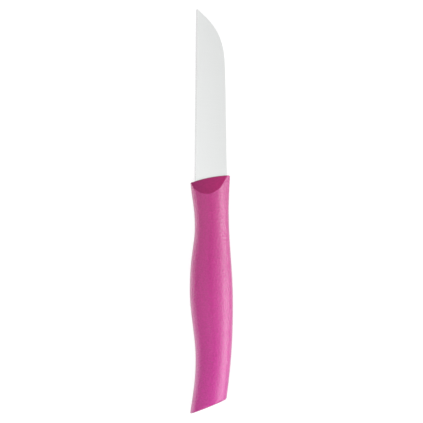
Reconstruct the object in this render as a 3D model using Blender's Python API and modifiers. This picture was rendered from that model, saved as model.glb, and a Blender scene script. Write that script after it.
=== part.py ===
"""A small vegetable knife lying on its side, as two pieces.

The blade is one stamped sheet whose tang the handle hides. The handle is plastic moulded round the tang,
through two holes that key it. In the knife's own frame Y runs from the butt to the tip, X from the cutting
edge to the spine, and Z square to the blade. Its datum lies in the blade's mid-plane, on the tang's centre
line, level with the furthest reach of the handle's front.
"""

import math
from collections import namedtuple

import bmesh
import bpy
import numpy as np
from mathutils import Vector
from mathutils.geometry import interpolate_bezier

# Blade outline, in metres.
BLADE_REACH = 0.0796  # from the datum to the corner of the tip, before that is rounded
EDGE_OFFSET = 0.0077  # cutting edge to the tang's centre line, level with the datum
EDGE_LEAN = 0.0007  # what the edge gains towards the spine by the tip
SPINE_OFFSET = 0.00766  # spine to the tang's centre line, level with the datum
SPINE_LEAN = 0.0008  # what the spine gains towards the edge where its drop begins
DROP_LENGTH = 0.0293  # the part of the blade whose spine drops to the tip
DROP_ANGLE = math.radians(45.0)  # between spine and edge at the tip
DROP_PULL_TIP = 0.0102  # how far the drop's curve holds its direction at the tip
DROP_PULL_SPINE = 0.0178  # and at the straight spine
TIP_RADIUS = 0.00055

# Blade section.
STOCK = 0.0013  # sheet thickness
BEHIND_EDGE = 0.0003  # thickness where the ground flats meet the edge bevel
APEX = 0.00004  # thickness of the cutting edge itself
BEVEL_WIDTH = 0.0006
GRIND_WIDTH = 0.0160  # from the edge to where the ground flats would reach the full sheet
PLUNGE_DEPTH = 0.0046  # how far behind the datum the grinding stops, inside the handle
SPINE_EASE = 0.00012  # the broken corners of the spine

# Tang.
HEEL_DEPTH_SPINE = 0.0055  # depth of the full-width heel behind the datum, at the spine
HEEL_DEPTH_EDGE = 0.0090  # and at the edge
TANG_WIDTH = 0.0090
TANG_DEPTH = 0.0720  # from the datum to the tang's end
TANG_END_RADIUS = 0.0030
TANG_ROOT_RADIUS = 0.0015
KEY_HOLE = 0.0045  # diameter of the two holes that the plastic fills
FRONT_KEY_DEPTH = 0.0230  # from the datum to the front hole
REAR_KEY_INSET = 0.0110  # from the tang's end to the rear hole
FIT_CLEARANCE = 0.0003  # between steel and plastic

# Handle outline, each reach measured from the tang's centre line and each depth from the datum.
HANDLE_LENGTH = 0.1135  # to the butt's corner on the belly, before that is rounded
BUTT_RISE = 0.0070  # how much less deep the butt's corner on the back is
BUTT_RADIUS = 0.0009
BUTT_CROWN = 0.0003  # how far the butt's end swells out in its middle
FRONT_BELLY_REACH = 0.0099
WAIST_DEPTH = 0.0250
WAIST_REACH = 0.00765
SWELL_DEPTH = 0.0545
SWELL_REACH = 0.01004
HOLLOW_FROM_BUTT = 0.0257
HOLLOW_REACH = 0.0073
BUTT_BELLY_REACH = 0.00995
BUTT_BELLY_FLARE = 0.13  # growth of the reach for each unit of depth there
FRONT_BACK_REACH = 0.00925
FRONT_BACK_FLARE = -0.05
DIP_DEPTH = 0.0170
DIP_REACH = 0.00857
CREST_DEPTH = 0.0610
CREST_REACH = 0.01055
BUTT_BACK_REACH = 0.0075
BUTT_BACK_FLARE = -0.12

# Handle section.
FRONT_THICKNESS = 0.0120
WAIST_THICKNESS = 0.0116
SWELL_THICKNESS = 0.0140
HOLLOW_THICKNESS = 0.0126
BUTT_THICKNESS = 0.0120
BELLY_FULLNESS = 2.05  # power of the section's rounded side, where 2 is an ellipse
BACK_FULLNESS = 1.7

# Handle front: a narrow land round the blade, with a flat facet falling away on each side.
FRONT_RADIUS = 0.0570  # of the arc that the land follows
FRONT_CREST_OFFSET = 0.0114  # from the tang's centre line to that arc's furthest reach
LAND_WIDTH = 0.0030
FACET_ANGLE = math.radians(32.0)  # between each facet and the blade's mid-plane
FRONT_CORNER_RADIUS = 0.0009
CORNER_OVERRUN = 0.00006  # how far a rounded front corner passes the handle's side, so that it cuts it

# Fineness of the curved surfaces, and the spare length of blanks and cutters.
HALF_SECTION_STEPS = 14
LENGTH_STEPS = 44
ROUNDING_STEPS = 3
CROWN_STEPS = 3
CORNER_STEPS = 4
DROP_STEPS = 16
HOLE_STEPS = 24
CURVE_STEPS = 32
SPARE = 0.0020
WELD = 1e-7
SHARP_ANGLE = math.radians(24.0)
LEVEL = 0.5  # a face whose normal rises more than this counts as level, not upright
EVEN_PULL = 0.4  # how far a curve holds its direction at a knot, as a share of the span

Knot = namedtuple(
    "Knot", "depth reach flare pull_before pull_after", defaults=(0.0, EVEN_PULL, EVEN_PULL)
)
Corner = namedtuple("Corner", "x y radius")


def clear_scene():
    """Remove every object of the open scene."""
    for thing in list(bpy.data.objects):
        bpy.data.objects.remove(thing, do_unlink=True)


def new_collection(name):
    """A collection linked to the scene."""
    collection = bpy.data.collections.new(name)
    bpy.context.scene.collection.children.link(collection)
    return collection


def new_material(name, color, roughness, metallic):
    """A Principled material of one linear colour."""
    material = bpy.data.materials.new(name)
    material.use_nodes = True
    shader = material.node_tree.nodes["Principled BSDF"]
    shader.inputs["Base Color"].default_value = (*color, 1.0)
    shader.inputs["Roughness"].default_value = roughness
    shader.inputs["Metallic"].default_value = metallic
    material.diffuse_color = (*color, 1.0)
    return material


def new_piece(name, mesh, collection, parent):
    """An object that shows the mesh, in the collection and under the parent."""
    piece = bpy.data.objects.new(name, mesh)
    collection.objects.link(piece)
    piece.parent = parent
    return piece


def as_cutter(piece):
    """Mark the piece as a cutter, which no render shows."""
    piece.hide_render = True
    piece.display_type = "WIRE"
    return piece


def cut(piece, cutter):
    """Take the cutter's shape out of the piece."""
    modifier = piece.modifiers.new("cut by " + cutter.name, "BOOLEAN")
    modifier.operation = "DIFFERENCE"
    modifier.solver = "EXACT"
    modifier.object = cutter


def settle(piece):
    """Make the piece's modifiers its own mesh."""
    graph = bpy.context.evaluated_depsgraph_get()
    mesh = bpy.data.meshes.new_from_object(piece.evaluated_get(graph))
    piece.modifiers.clear()
    piece.data = mesh


def shade(piece, material):
    """Give the piece its material and smooth shading that stops at its sharp edges."""
    piece.data.materials.clear()
    piece.data.materials.append(material)
    piece.data.shade_smooth()
    piece.data.set_sharp_from_angle(angle=SHARP_ANGLE)


def rounded_corner(before, corner, after):
    """Points of the arc that replaces a corner between its two neighbours."""
    point = Vector((corner.x, corner.y))
    back = (Vector((before.x, before.y)) - point).normalized()
    ahead = (Vector((after.x, after.y)) - point).normalized()
    half_angle = back.angle(ahead) / 2
    middle = (back + ahead).normalized()
    centre = point + middle * corner.radius / math.sin(half_angle)
    start = point + back * corner.radius / math.tan(half_angle) - centre
    end = point + ahead * corner.radius / math.tan(half_angle) - centre
    points = []
    for step in range(CORNER_STEPS + 1):
        direction = start.normalized().slerp(end.normalized(), step / CORNER_STEPS)
        points.append(centre + direction * corner.radius)
    return points


def outline_points(corners):
    """Points of a closed outline, with an arc at each corner that has a radius."""
    points = []
    for index, corner in enumerate(corners):
        if corner.radius > 0:
            following = corners[(index + 1) % len(corners)]
            points += rounded_corner(corners[index - 1], corner, following)
        else:
            points.append(Vector((corner.x, corner.y)))
    return points


def circle_points(x, y, radius):
    """Points of a circle."""
    turns = [2 * math.pi * step / HOLE_STEPS for step in range(HOLE_STEPS)]
    return [Vector((x + radius * math.cos(turn), y + radius * math.sin(turn))) for turn in turns]


def extruded_outline(name, outlines, half_length, collection, parent):
    """A closed mesh: the flat shape that the outlines bound, extruded both ways from its plane."""
    curve = bpy.data.curves.new(name, "CURVE")
    curve.dimensions = "2D"
    curve.fill_mode = "BOTH"
    curve.extrude = half_length
    for points in outlines:
        spline = curve.splines.new("POLY")
        spline.points.add(len(points) - 1)
        for knot, point in zip(spline.points, points):
            knot.co = (point.x, point.y, 0.0, 1.0)
        spline.use_cyclic_u = True
    drawn = bpy.data.objects.new(name + " outline", curve)
    collection.objects.link(drawn)
    graph = bpy.context.evaluated_depsgraph_get()
    mesh = bpy.data.meshes.new_from_object(drawn.evaluated_get(graph))
    bpy.data.objects.remove(drawn, do_unlink=True)
    shape = bmesh.new()
    shape.from_mesh(mesh)
    bmesh.ops.remove_doubles(shape, verts=shape.verts, dist=WELD)
    bmesh.ops.recalc_face_normals(shape, faces=shape.faces)
    shape.to_mesh(mesh)
    shape.free()
    return new_piece(name, mesh, collection, parent)


def edge_x(y):
    """Where the cutting edge lies at y."""
    return -EDGE_OFFSET + EDGE_LEAN * y / BLADE_REACH


def spine_x(y):
    """Where the straight spine lies at y."""
    return SPINE_OFFSET - SPINE_LEAN * y / (BLADE_REACH - DROP_LENGTH)


def drop_points(growth):
    """The spine's drop from its straight part to the tip, both ends included."""
    start = Vector((spine_x(BLADE_REACH - DROP_LENGTH) + growth, BLADE_REACH - DROP_LENGTH, 0.0))
    tip = Vector((edge_x(BLADE_REACH) - growth, BLADE_REACH, 0.0))
    along_spine = Vector((-SPINE_LEAN, BLADE_REACH - DROP_LENGTH, 0.0)).normalized()
    from_tip = Vector((math.sin(DROP_ANGLE), -math.cos(DROP_ANGLE), 0.0))
    return interpolate_bezier(
        start,
        start + along_spine * DROP_PULL_SPINE,
        tip + from_tip * DROP_PULL_TIP,
        tip,
        DROP_STEPS + 1,
    )


def blank_outlines(growth):
    """Outlines of the stamped blank and its two holes, with the steel grown on all sides."""
    half_tang = TANG_WIDTH / 2 + growth
    tang_end = -TANG_DEPTH - growth
    spine_heel = -HEEL_DEPTH_SPINE - growth
    edge_heel = -HEEL_DEPTH_EDGE - growth
    end_radius = TANG_END_RADIUS + growth
    root_radius = TANG_ROOT_RADIUS - growth
    drop = drop_points(growth)
    tip = drop[-1]
    corners = [
        Corner(-half_tang, tang_end, end_radius),
        Corner(half_tang, tang_end, end_radius),
        Corner(half_tang, spine_heel, root_radius),
        Corner(spine_x(spine_heel) + growth, spine_heel, 0.0),
        *[Corner(point.x, point.y, 0.0) for point in drop[:-1]],
        Corner(tip.x, tip.y, TIP_RADIUS),
        Corner(edge_x(edge_heel) - growth, edge_heel, 0.0),
        Corner(-half_tang, edge_heel, root_radius),
    ]
    hole_radius = KEY_HOLE / 2 - growth
    holes = [
        circle_points(0.0, -FRONT_KEY_DEPTH, hole_radius),
        circle_points(0.0, -TANG_DEPTH + REAR_KEY_INSET, hole_radius),
    ]
    return [outline_points(corners), *holes]


def ground_away(name, growth, collection, parent):
    """What the grinding takes off both sides of the blank, as a cutter that runs along the edge."""
    slope = (STOCK - BEHIND_EDGE) / 2 / (GRIND_WIDTH - BEVEL_WIDTH)
    far = GRIND_WIDTH + SPARE
    far_height = BEHIND_EDGE / 2 + slope * (far - BEVEL_WIDTH) + growth
    section = [
        Vector((-SPARE, APEX / 2 + growth)),
        Vector((0.0, APEX / 2 + growth)),
        Vector((BEVEL_WIDTH, BEHIND_EDGE / 2 + growth)),
        Vector((far, far_height)),
        Vector((far, far_height + SPARE)),
        Vector((-SPARE, far_height + SPARE)),
    ]
    other_side = [Vector((point.x, -point.y)) for point in section]
    start = -PLUNGE_DEPTH + growth
    end = BLADE_REACH + SPARE
    middle = (start + end) / 2
    cutter = extruded_outline(name, [section, other_side], (end - start) / 2, collection, parent)
    cutter.location = (edge_x(middle), middle, 0.0)
    cutter.rotation_euler = (math.pi / 2, 0.0, -math.atan2(EDGE_LEAN, BLADE_REACH))
    return as_cutter(cutter)


def ease_spine(piece):
    """Break the two long corners of the spine, from the handle to where the drop meets the tip."""
    shape = bmesh.new()
    shape.from_mesh(piece.data)
    corners = []
    for edge in shape.edges:
        if len(edge.link_faces) != 2:
            continue
        rises = sorted(abs(face.normal.z) for face in edge.link_faces)
        middle = (edge.verts[0].co + edge.verts[1].co) / 2
        on_spine = middle.y > 0 and middle.x > edge_x(middle.y) + BEVEL_WIDTH + TIP_RADIUS
        if on_spine and rises[0] < LEVEL < rises[1]:
            corners.append(edge)
    bmesh.ops.bevel(
        shape, geom=corners, offset=SPINE_EASE, offset_type="OFFSET", segments=1, affect="EDGES"
    )
    shape.to_mesh(piece.data)
    shape.free()


def nearest_vert(face, point):
    """The face's vertex that lies nearest to the point, seen square to the blade."""
    return min(face.verts, key=lambda vert: (vert.co.xy - point.xy).length)


def split_flats(piece):
    """Give each ground flat one wide triangle under the spine's drop, clear of the handle."""
    shape = bmesh.new()
    shape.from_mesh(piece.data)
    drop = drop_points(0.0)
    for flat in sorted(shape.faces, key=lambda face: face.calc_area())[-2:]:
        verts = [nearest_vert(flat, point) for point in (drop[0], drop[DROP_STEPS // 2], drop[-1])]
        for index, vert in enumerate(verts):
            bmesh.ops.connect_vert_pair(shape, verts=[verts[index - 1], vert])
    shape.to_mesh(piece.data)
    shape.free()


def build_blank(name, growth, collection, cutters, parent):
    """The stamped and ground blank, with the steel grown on all sides."""
    blank = extruded_outline(name, blank_outlines(growth), STOCK / 2 + growth, collection, parent)
    cut(blank, ground_away(name + "_grind_cutter", growth, cutters, parent))
    return blank


def through(knots):
    """Depths and values along a smooth curve through the knots, each pull a share of its span."""
    depths = []
    values = []
    for near, far in zip(knots, knots[1:]):
        span = far.depth - near.depth
        leaving = near.pull_after * span
        arriving = far.pull_before * span
        points = interpolate_bezier(
            Vector((near.depth, near.reach, 0.0)),
            Vector((near.depth + leaving, near.reach + near.flare * leaving, 0.0)),
            Vector((far.depth - arriving, far.reach - far.flare * arriving, 0.0)),
            Vector((far.depth, far.reach, 0.0)),
            CURVE_STEPS,
        )
        depths += [point.x for point in points]
        values += [point.y for point in points]
    return depths, values


BELLY_CURVE = through([
    Knot(-SPARE, FRONT_BELLY_REACH, pull_after=0.44),
    Knot(WAIST_DEPTH, WAIST_REACH, pull_before=0.46, pull_after=0.25),
    Knot(SWELL_DEPTH, SWELL_REACH, pull_before=0.56, pull_after=0.36),
    Knot(HANDLE_LENGTH - HOLLOW_FROM_BUTT, HOLLOW_REACH, pull_before=0.36, pull_after=0.43),
    Knot(HANDLE_LENGTH, BUTT_BELLY_REACH, BUTT_BELLY_FLARE, pull_before=0.27),
])
BACK_CURVE = through([
    Knot(-SPARE, FRONT_BACK_REACH, FRONT_BACK_FLARE, pull_after=0.32),
    Knot(DIP_DEPTH, DIP_REACH, pull_before=0.37, pull_after=0.39),
    Knot(CREST_DEPTH, CREST_REACH, pull_before=0.39, pull_after=0.50),
    Knot(HANDLE_LENGTH - BUTT_RISE, BUTT_BACK_REACH, BUTT_BACK_FLARE, pull_before=0.26),
])
THICKNESS_CURVE = through([
    Knot(-SPARE, FRONT_THICKNESS),
    Knot(WAIST_DEPTH, WAIST_THICKNESS),
    Knot(SWELL_DEPTH, SWELL_THICKNESS),
    Knot(HANDLE_LENGTH - HOLLOW_FROM_BUTT, HOLLOW_THICKNESS),
    Knot(HANDLE_LENGTH, BUTT_THICKNESS),
])


def value_at(curve, depth):
    """The curve's value at this depth behind the datum."""
    return float(np.interp(depth, *curve))


def butt_slant():
    """Angle between the butt's flat end and a square cut."""
    return math.atan2(BUTT_RISE, BUTT_BELLY_REACH + BUTT_BACK_REACH)


def butt_rounding(row):
    """How far a ring stands back from the butt's flat, is drawn in, and is then scaled down."""
    turn = min(max(row - LENGTH_STEPS, 0) / ROUNDING_STEPS, 1.0) * math.pi / 2
    crown_row = max(row - LENGTH_STEPS - ROUNDING_STEPS, 0)
    scale = 1.0 - crown_row / (CROWN_STEPS + 1)
    set_back = BUTT_RADIUS * (1 - math.sin(turn)) - BUTT_CROWN * (1 - scale**2)
    inset = BUTT_RADIUS * (1 - math.cos(turn))
    return set_back, inset, scale


def ring_point(row, column):
    """A point of the handle's upper half, with column 0 on the belly and the last one on the back."""
    set_back, inset, scale = butt_rounding(row)
    share = min(row / LENGTH_STEPS, 1.0)
    length_lost = set_back / math.cos(butt_slant())
    belly_depth = -SPARE + (HANDLE_LENGTH - length_lost + SPARE) * share
    back_depth = belly_depth - BUTT_RISE * share
    belly = Vector((-value_at(BELLY_CURVE, belly_depth), -belly_depth, 0.0))
    back = Vector((value_at(BACK_CURVE, back_depth), -back_depth, 0.0))
    middle = (belly + back) / 2
    outward = (back - belly).normalized()
    half_width = ((back - belly).length / 2 - inset) * scale
    half_thickness = (value_at(THICKNESS_CURVE, -middle.y) / 2 - inset) * scale
    turn = math.pi * column / HALF_SECTION_STEPS
    fullness = BELLY_FULLNESS if turn < math.pi / 2 else BACK_FULLNESS
    across = -math.copysign(abs(math.cos(turn)) ** (2 / fullness), math.cos(turn))
    up = abs(math.sin(turn)) ** (2 / fullness)
    if column in (0, HALF_SECTION_STEPS):
        up = 0.0
    return middle + outward * half_width * across + Vector((0.0, 0.0, half_thickness * up))


def half_handle_mesh():
    """The handle's upper half, open at the blade's mid-plane and closed at both ends."""
    rows = LENGTH_STEPS + ROUNDING_STEPS + CROWN_STEPS
    shape = bmesh.new()
    bmesh.ops.create_grid(shape, x_segments=HALF_SECTION_STEPS, y_segments=rows, size=1.0)
    ends = {0: [], rows: []}
    for vert in shape.verts:
        column = round((vert.co.x + 1) / 2 * HALF_SECTION_STEPS)
        row = round((1 - vert.co.y) / 2 * rows)
        vert.co = ring_point(row, column)
        if row in ends:
            ends[row].append(vert)
    for verts in ends.values():
        rim = [edge for edge in shape.edges if edge.verts[0] in verts and edge.verts[1] in verts]
        bmesh.ops.contextual_create(shape, geom=rim)
    bmesh.ops.recalc_face_normals(shape, faces=shape.faces)
    mesh = bpy.data.meshes.new("handle")
    shape.to_mesh(mesh)
    shape.free()
    return mesh


def front_y(x):
    """Where the arc of the handle's front lies at x."""
    across = x - FRONT_CREST_OFFSET
    return math.sqrt(FRONT_RADIUS**2 - across**2) - FRONT_RADIUS


def front_outline(top):
    """What is cut off the handle's blank from the land up to top, seen square to the blade."""
    belly = -value_at(BELLY_CURVE, -front_y(-FRONT_BELLY_REACH)) - CORNER_OVERRUN
    back = value_at(BACK_CURVE, 0.0) + CORNER_OVERRUN
    left = belly - SPARE
    right = back + SPARE
    arc_start = belly + FRONT_CORNER_RADIUS
    arc_end = back - FRONT_CORNER_RADIUS
    arc = []
    for step in range(DROP_STEPS + 1):
        x = arc_start + (arc_end - arc_start) * step / DROP_STEPS
        arc.append(Vector((x, front_y(x))))
    belly_rounding = []
    back_rounding = []
    for step in range(CORNER_STEPS):
        turn = math.pi / 2 * step / CORNER_STEPS
        sideways = FRONT_CORNER_RADIUS * (1 - math.cos(turn))
        down = FRONT_CORNER_RADIUS * (1 - math.sin(turn))
        belly_rounding.append(Vector((belly + sideways, arc[0].y - down)))
        back_rounding.insert(0, Vector((back - sideways, arc[-1].y - down)))
    return [
        Vector((left, top)),
        Vector((left, belly_rounding[0].y)),
        *belly_rounding,
        *arc,
        *back_rounding,
        Vector((right, back_rounding[-1].y)),
        Vector((right, top)),
    ]


def front_cutter(collection, parent):
    """The cutter that shapes the handle's front: square across the land, slanted beyond it."""
    reach = FRONT_THICKNESS
    slant = Vector((0.0, reach / math.tan(FACET_ANGLE), reach))
    shape = bmesh.new()
    verts = []
    for point in front_outline(slant.y + 2 * SPARE):
        verts.append(shape.verts.new((point.x, point.y - slant.y, -LAND_WIDTH / 2 - reach)))
    rim = [shape.edges.new((verts[index - 1], vert)) for index, vert in enumerate(verts)]
    bmesh.ops.contextual_create(shape, geom=rim)
    for step in (slant, Vector((0.0, 0.0, LAND_WIDTH)), Vector((0.0, -slant.y, reach))):
        grown = bmesh.ops.extrude_edge_only(shape, edges=rim)["geom"]
        moved = [item for item in grown if isinstance(item, bmesh.types.BMVert)]
        rim = [item for item in grown if isinstance(item, bmesh.types.BMEdge)]
        bmesh.ops.translate(shape, verts=moved, vec=step)
    bmesh.ops.contextual_create(shape, geom=rim)
    bmesh.ops.recalc_face_normals(shape, faces=shape.faces)
    mesh = bpy.data.meshes.new("front_cutter")
    shape.to_mesh(mesh)
    shape.free()
    return as_cutter(new_piece("front_cutter", mesh, collection, parent))


def build_handle(collection, cutters, parent):
    """The moulded handle, with its shaped front and the space that the tang fills."""
    handle = new_piece("handle", half_handle_mesh(), collection, parent)
    mirror = handle.modifiers.new("other half", "MIRROR")
    mirror.use_axis = (False, False, True)
    mirror.merge_threshold = WELD
    cut(handle, front_cutter(cutters, parent))
    slot = as_cutter(build_blank("tang_slot_cutter", FIT_CLEARANCE, cutters, cutters, parent))
    cut(handle, slot)
    return handle


def rest_on_origin(knife, pieces):
    """Move the knife so that the bottom centre of its bounding box is the origin."""
    bpy.context.view_layer.update()
    points = np.array([piece.matrix_world @ vert.co for piece in pieces for vert in piece.data.vertices])
    low = points.min(axis=0)
    high = points.max(axis=0)
    knife.location = (-(low[0] + high[0]) / 2, -(low[1] + high[1]) / 2, -low[2])


def main():
    """Build the knife."""
    clear_scene()
    parts = new_collection("vegetable_knife")
    cutters = new_collection("cutters")
    knife = bpy.data.objects.new("knife", None)
    parts.objects.link(knife)
    blade = build_blank("blade", 0.0, parts, cutters, knife)
    handle = build_handle(parts, cutters, knife)
    settle(blade)
    settle(handle)
    ease_spine(blade)
    split_flats(blade)
    steel = new_material("satin_steel", color=(0.80, 0.81, 0.81), roughness=0.32, metallic=1.0)
    plastic = new_material("magenta_plastic", color=(0.53, 0.06, 0.25), roughness=0.42, metallic=0.0)
    shade(blade, steel)
    shade(handle, plastic)
    rest_on_origin(knife, [blade, handle])


main()
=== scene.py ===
"""Looks of a small vegetable knife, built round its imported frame.

The knife lies on its side on a white floor, its blade pointing along +Y, and the camera looks straight
down at it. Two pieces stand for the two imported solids: the ground blade with its hidden tang, and the
moulded handle. Each is modelled in the knife's own frame, whose datum lies in the blade's mid-plane, on
the tang's centre line, level with the furthest reach of the handle's front, and then moved to its place.
All sizes are in metres.
"""

import logging
import math
from bisect import bisect_right
from collections.abc import Callable, Iterator
from contextlib import contextmanager
from dataclasses import dataclass, field
from enum import Enum

import bmesh
import bpy
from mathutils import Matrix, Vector
from mathutils.geometry import interpolate_bezier

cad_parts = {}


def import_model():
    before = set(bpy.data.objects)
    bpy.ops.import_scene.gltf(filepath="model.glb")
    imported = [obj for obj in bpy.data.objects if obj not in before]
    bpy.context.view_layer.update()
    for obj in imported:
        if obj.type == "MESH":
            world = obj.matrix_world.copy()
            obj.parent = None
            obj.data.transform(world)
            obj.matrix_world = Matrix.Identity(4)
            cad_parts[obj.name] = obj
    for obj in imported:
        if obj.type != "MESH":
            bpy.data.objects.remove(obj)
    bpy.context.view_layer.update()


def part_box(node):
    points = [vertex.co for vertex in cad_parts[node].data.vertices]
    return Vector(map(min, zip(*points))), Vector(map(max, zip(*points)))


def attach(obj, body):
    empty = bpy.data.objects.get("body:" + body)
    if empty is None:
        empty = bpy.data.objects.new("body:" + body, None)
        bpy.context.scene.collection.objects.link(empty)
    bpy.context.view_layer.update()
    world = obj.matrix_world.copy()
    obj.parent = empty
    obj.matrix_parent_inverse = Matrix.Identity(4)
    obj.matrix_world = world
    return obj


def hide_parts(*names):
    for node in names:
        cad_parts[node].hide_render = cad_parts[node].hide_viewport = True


LOG = logging.getLogger("vegetable_knife")
Colour = tuple[float, float, float]

WHITE = (1.0, 1.0, 1.0, 1.0)
BODY = "root"
SAME_PLACE = 1e-6  # points nearer than this are one point
STRAIGHT = math.radians(3.0)  # edges that meet at less than this angle count as one line
CURVE_STEPS = 64  # points on each span of a smooth curve
LEVEL = 0.5  # a face whose normal rises more than this counts as level, not upright
# The painted shade of the blade and the painted light across the handle change over this span.
KNIFE_ACROSS = (-0.0080, 0.0074)  # from the cutting edge to the spine, as X in the imported frame
# The handle's painted light changes over this span, from its front to its butt.
HANDLE_ALONG = (0.0100, -0.0850)  # from the handle's front to its butt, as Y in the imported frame


class Element(Enum):
    """What a selection in edit mode is made of."""

    VERT = "VERT"
    EDGE = "EDGE"
    FACE = "FACE"


class Cut(Enum):
    """What a second solid does to a workpiece."""

    TAKE_AWAY = "DIFFERENCE"
    JOIN = "UNION"


class Side(Enum):
    """The two long sides of the handle's section, by the sign of their X."""

    BELLY = -1
    BACK = 1


class GroundLines(Enum):
    """Which way a ground surface's fine lines run."""

    ACROSS = "across the blade"
    LENGTHWISE = "along the blade"


class Workpiece:
    """A mesh object on the bench, shaped with Blender's own modelling operators."""

    def __init__(self, thing: bpy.types.Object) -> None:
        """Take the object as it is.

        Args:
            thing: The mesh object to work on.
        """
        self.thing = thing

    @classmethod
    def block(cls, name: str, low: Vector, high: Vector) -> "Workpiece":
        """Start from a box.

        Args:
            name: The object's name.
            low: The box's lowest corner.
            high: Its highest corner.

        Returns:
            The new workpiece.
        """
        deselect_all()
        bpy.ops.mesh.primitive_cube_add(size=1.0, location=(low + high) / 2, scale=high - low)
        return cls._named(name)

    @classmethod
    def bar(cls, name: str, columns: int, radius: float, start: Vector, end: Vector) -> "Workpiece":
        """Start from a cylinder that lies along Y or stands along Z.

        Args:
            name: The object's name.
            columns: How many sides it has.
            radius: Its radius.
            start: The centre of one end.
            end: The centre of the other.

        Returns:
            The new workpiece.
        """
        deselect_all()
        along = end - start
        lying = math.pi / 2 if abs(along.y) > abs(along.z) else 0.0
        bpy.ops.mesh.primitive_cylinder_add(
            vertices=columns,
            radius=radius,
            depth=along.length,
            location=(start + end) / 2,
            rotation=(lying, 0.0, 0.0),
        )
        return cls._named(name)

    @classmethod
    def _named(cls, name: str) -> "Workpiece":
        """Take the active object as a workpiece, and put its place into its mesh.

        Args:
            name: The object's new name.

        Returns:
            The new workpiece.
        """
        bpy.ops.object.transform_apply(location=True, rotation=True, scale=True)
        thing = bpy.context.object
        thing.name = name
        thing.data.name = name
        return cls(thing)

    def copy(self, name: str) -> "Workpiece":
        """Make a second workpiece of the same shape, with a mesh of its own.

        Args:
            name: The second one's name.

        Returns:
            The second workpiece.
        """
        twin = self.thing.copy()
        twin.data = self.thing.data.copy()
        twin.name = name
        bpy.context.scene.collection.objects.link(twin)
        return Workpiece(twin)

    def take_up(self) -> None:
        """Make this the only selected object, and the active one."""
        deselect_all()
        self.thing.select_set(True)
        bpy.context.view_layer.objects.active = self.thing

    @contextmanager
    def in_edit_mode(self) -> Iterator[None]:
        """Work in edit mode on this piece alone.

        Yields:
            Nothing. Edit mode ends with the block.
        """
        self.take_up()
        bpy.ops.object.mode_set(mode="EDIT")
        yield
        bpy.ops.object.mode_set(mode="OBJECT")

    def pick(self, element: Element, test: Callable[..., bool]) -> int:
        """Select only the vertices, edges or faces that pass a test. It needs edit mode.

        Args:
            element: What to select.
            test: Called with each one, it says whether that is selected.

        Returns:
            How many were selected.
        """
        bpy.ops.mesh.select_mode(type=element.value)
        bpy.ops.mesh.select_all(action="DESELECT")
        mesh = bmesh.from_edit_mesh(self.thing.data)
        candidates = {Element.VERT: mesh.verts, Element.EDGE: mesh.edges, Element.FACE: mesh.faces}
        chosen = [item for item in candidates[element] if test(item)]
        for item in chosen:
            item.select_set(True)
        mesh.select_flush_mode()
        bmesh.update_edit_mesh(self.thing.data)
        return len(chosen)

    def part(self, start: Vector, normal: Vector) -> None:
        """Mark the piece with a line of edges all round, in a plane. It needs edit mode.

        Args:
            start: A point of the plane.
            normal: The plane's normal.
        """
        bpy.ops.mesh.select_all(action="SELECT")
        bpy.ops.mesh.bisect(plane_co=start, plane_no=normal, threshold=SAME_PLACE)

    def combine(self, other: "Workpiece", cut: Cut) -> None:
        """Cut this piece by a solid, or join it to one, and put the solid away.

        Args:
            other: The second solid.
            cut: What it does.
        """
        self.take_up()
        modifier = self.thing.modifiers.new(other.thing.name, "BOOLEAN")
        modifier.operation = cut.value
        modifier.solver = "EXACT"
        modifier.material_mode = "TRANSFER"
        modifier.object = other.thing
        bpy.ops.object.modifier_apply(modifier=modifier.name)
        bpy.data.objects.remove(other.thing, do_unlink=True)

    def wear(self, *materials: bpy.types.Material) -> None:
        """Give the piece its material slots.

        Args:
            materials: The materials, in the order of the slots.
        """
        self.thing.data.materials.clear()
        for material in materials:
            self.thing.data.materials.append(material)

    def tidy(self, sharp_angle: float) -> None:
        """Clean the mesh, turn its faces outwards and shade it smooth between its sharp edges.

        Args:
            sharp_angle: Faces that meet at more than this angle meet in a sharp edge.
        """
        with self.in_edit_mode():
            bpy.ops.mesh.select_all(action="SELECT")
            bpy.ops.mesh.remove_doubles(threshold=SAME_PLACE)
            if self.pick(Element.VERT, is_needless):
                bpy.ops.mesh.dissolve_verts()
            bpy.ops.mesh.select_all(action="SELECT")
            bpy.ops.mesh.normals_make_consistent(inside=False)
        bpy.ops.object.shade_smooth_by_angle(angle=sharp_angle)
        weighted = self.thing.modifiers.new("even shading", "WEIGHTED_NORMAL")
        weighted.keep_sharp = True
        bpy.ops.object.modifier_apply(modifier=weighted.name)

    def place(self, datum: Vector) -> None:
        """Move the piece from the knife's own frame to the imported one, within its mesh.

        Args:
            datum: The knife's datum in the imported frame.
        """
        self.take_up()
        self.thing.location = datum
        bpy.ops.object.transform_apply(location=True, rotation=True, scale=True)

    def report(self) -> None:
        """Log the piece's name, faces and size."""
        millimetres = self.thing.dimensions * 1000
        LOG.info(
            "%s: %d faces, %.1f x %.1f x %.1f mm",
            self.thing.name,
            len(self.thing.data.polygons),
            *millimetres,
        )


def deselect_all() -> None:
    """Leave no object selected."""
    bpy.ops.object.select_all(action="DESELECT")


def is_needless(vert: bmesh.types.BMVert) -> bool:
    """Whether a vertex only joins two edges that run on almost straight."""
    return len(vert.link_edges) == 2 and vert.calc_edge_angle() < STRAIGHT


def lies_across(face: bmesh.types.BMFace, axis: str, place: float) -> bool:
    """Whether a face lies square across an axis, named x, y or z, at a place on it."""
    return all(abs(getattr(vert.co, axis) - place) < SAME_PLACE for vert in face.verts)


def extrude(step: Vector) -> None:
    """Extrude the faces selected in edit mode."""
    bpy.ops.mesh.extrude_region_move(TRANSFORM_OT_translate={"value": step})


def resize(values: tuple[float, float, float], pivot: Vector) -> None:
    """Scale what is selected in edit mode about a point."""
    bpy.ops.transform.resize(value=values, center_override=pivot)


def turn(angle: float, pivot: Vector) -> None:
    """Turn what is selected in edit mode about an upright axis through a point, anticlockwise."""
    bpy.ops.transform.rotate(value=-angle, orient_axis="Z", center_override=pivot)


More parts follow.
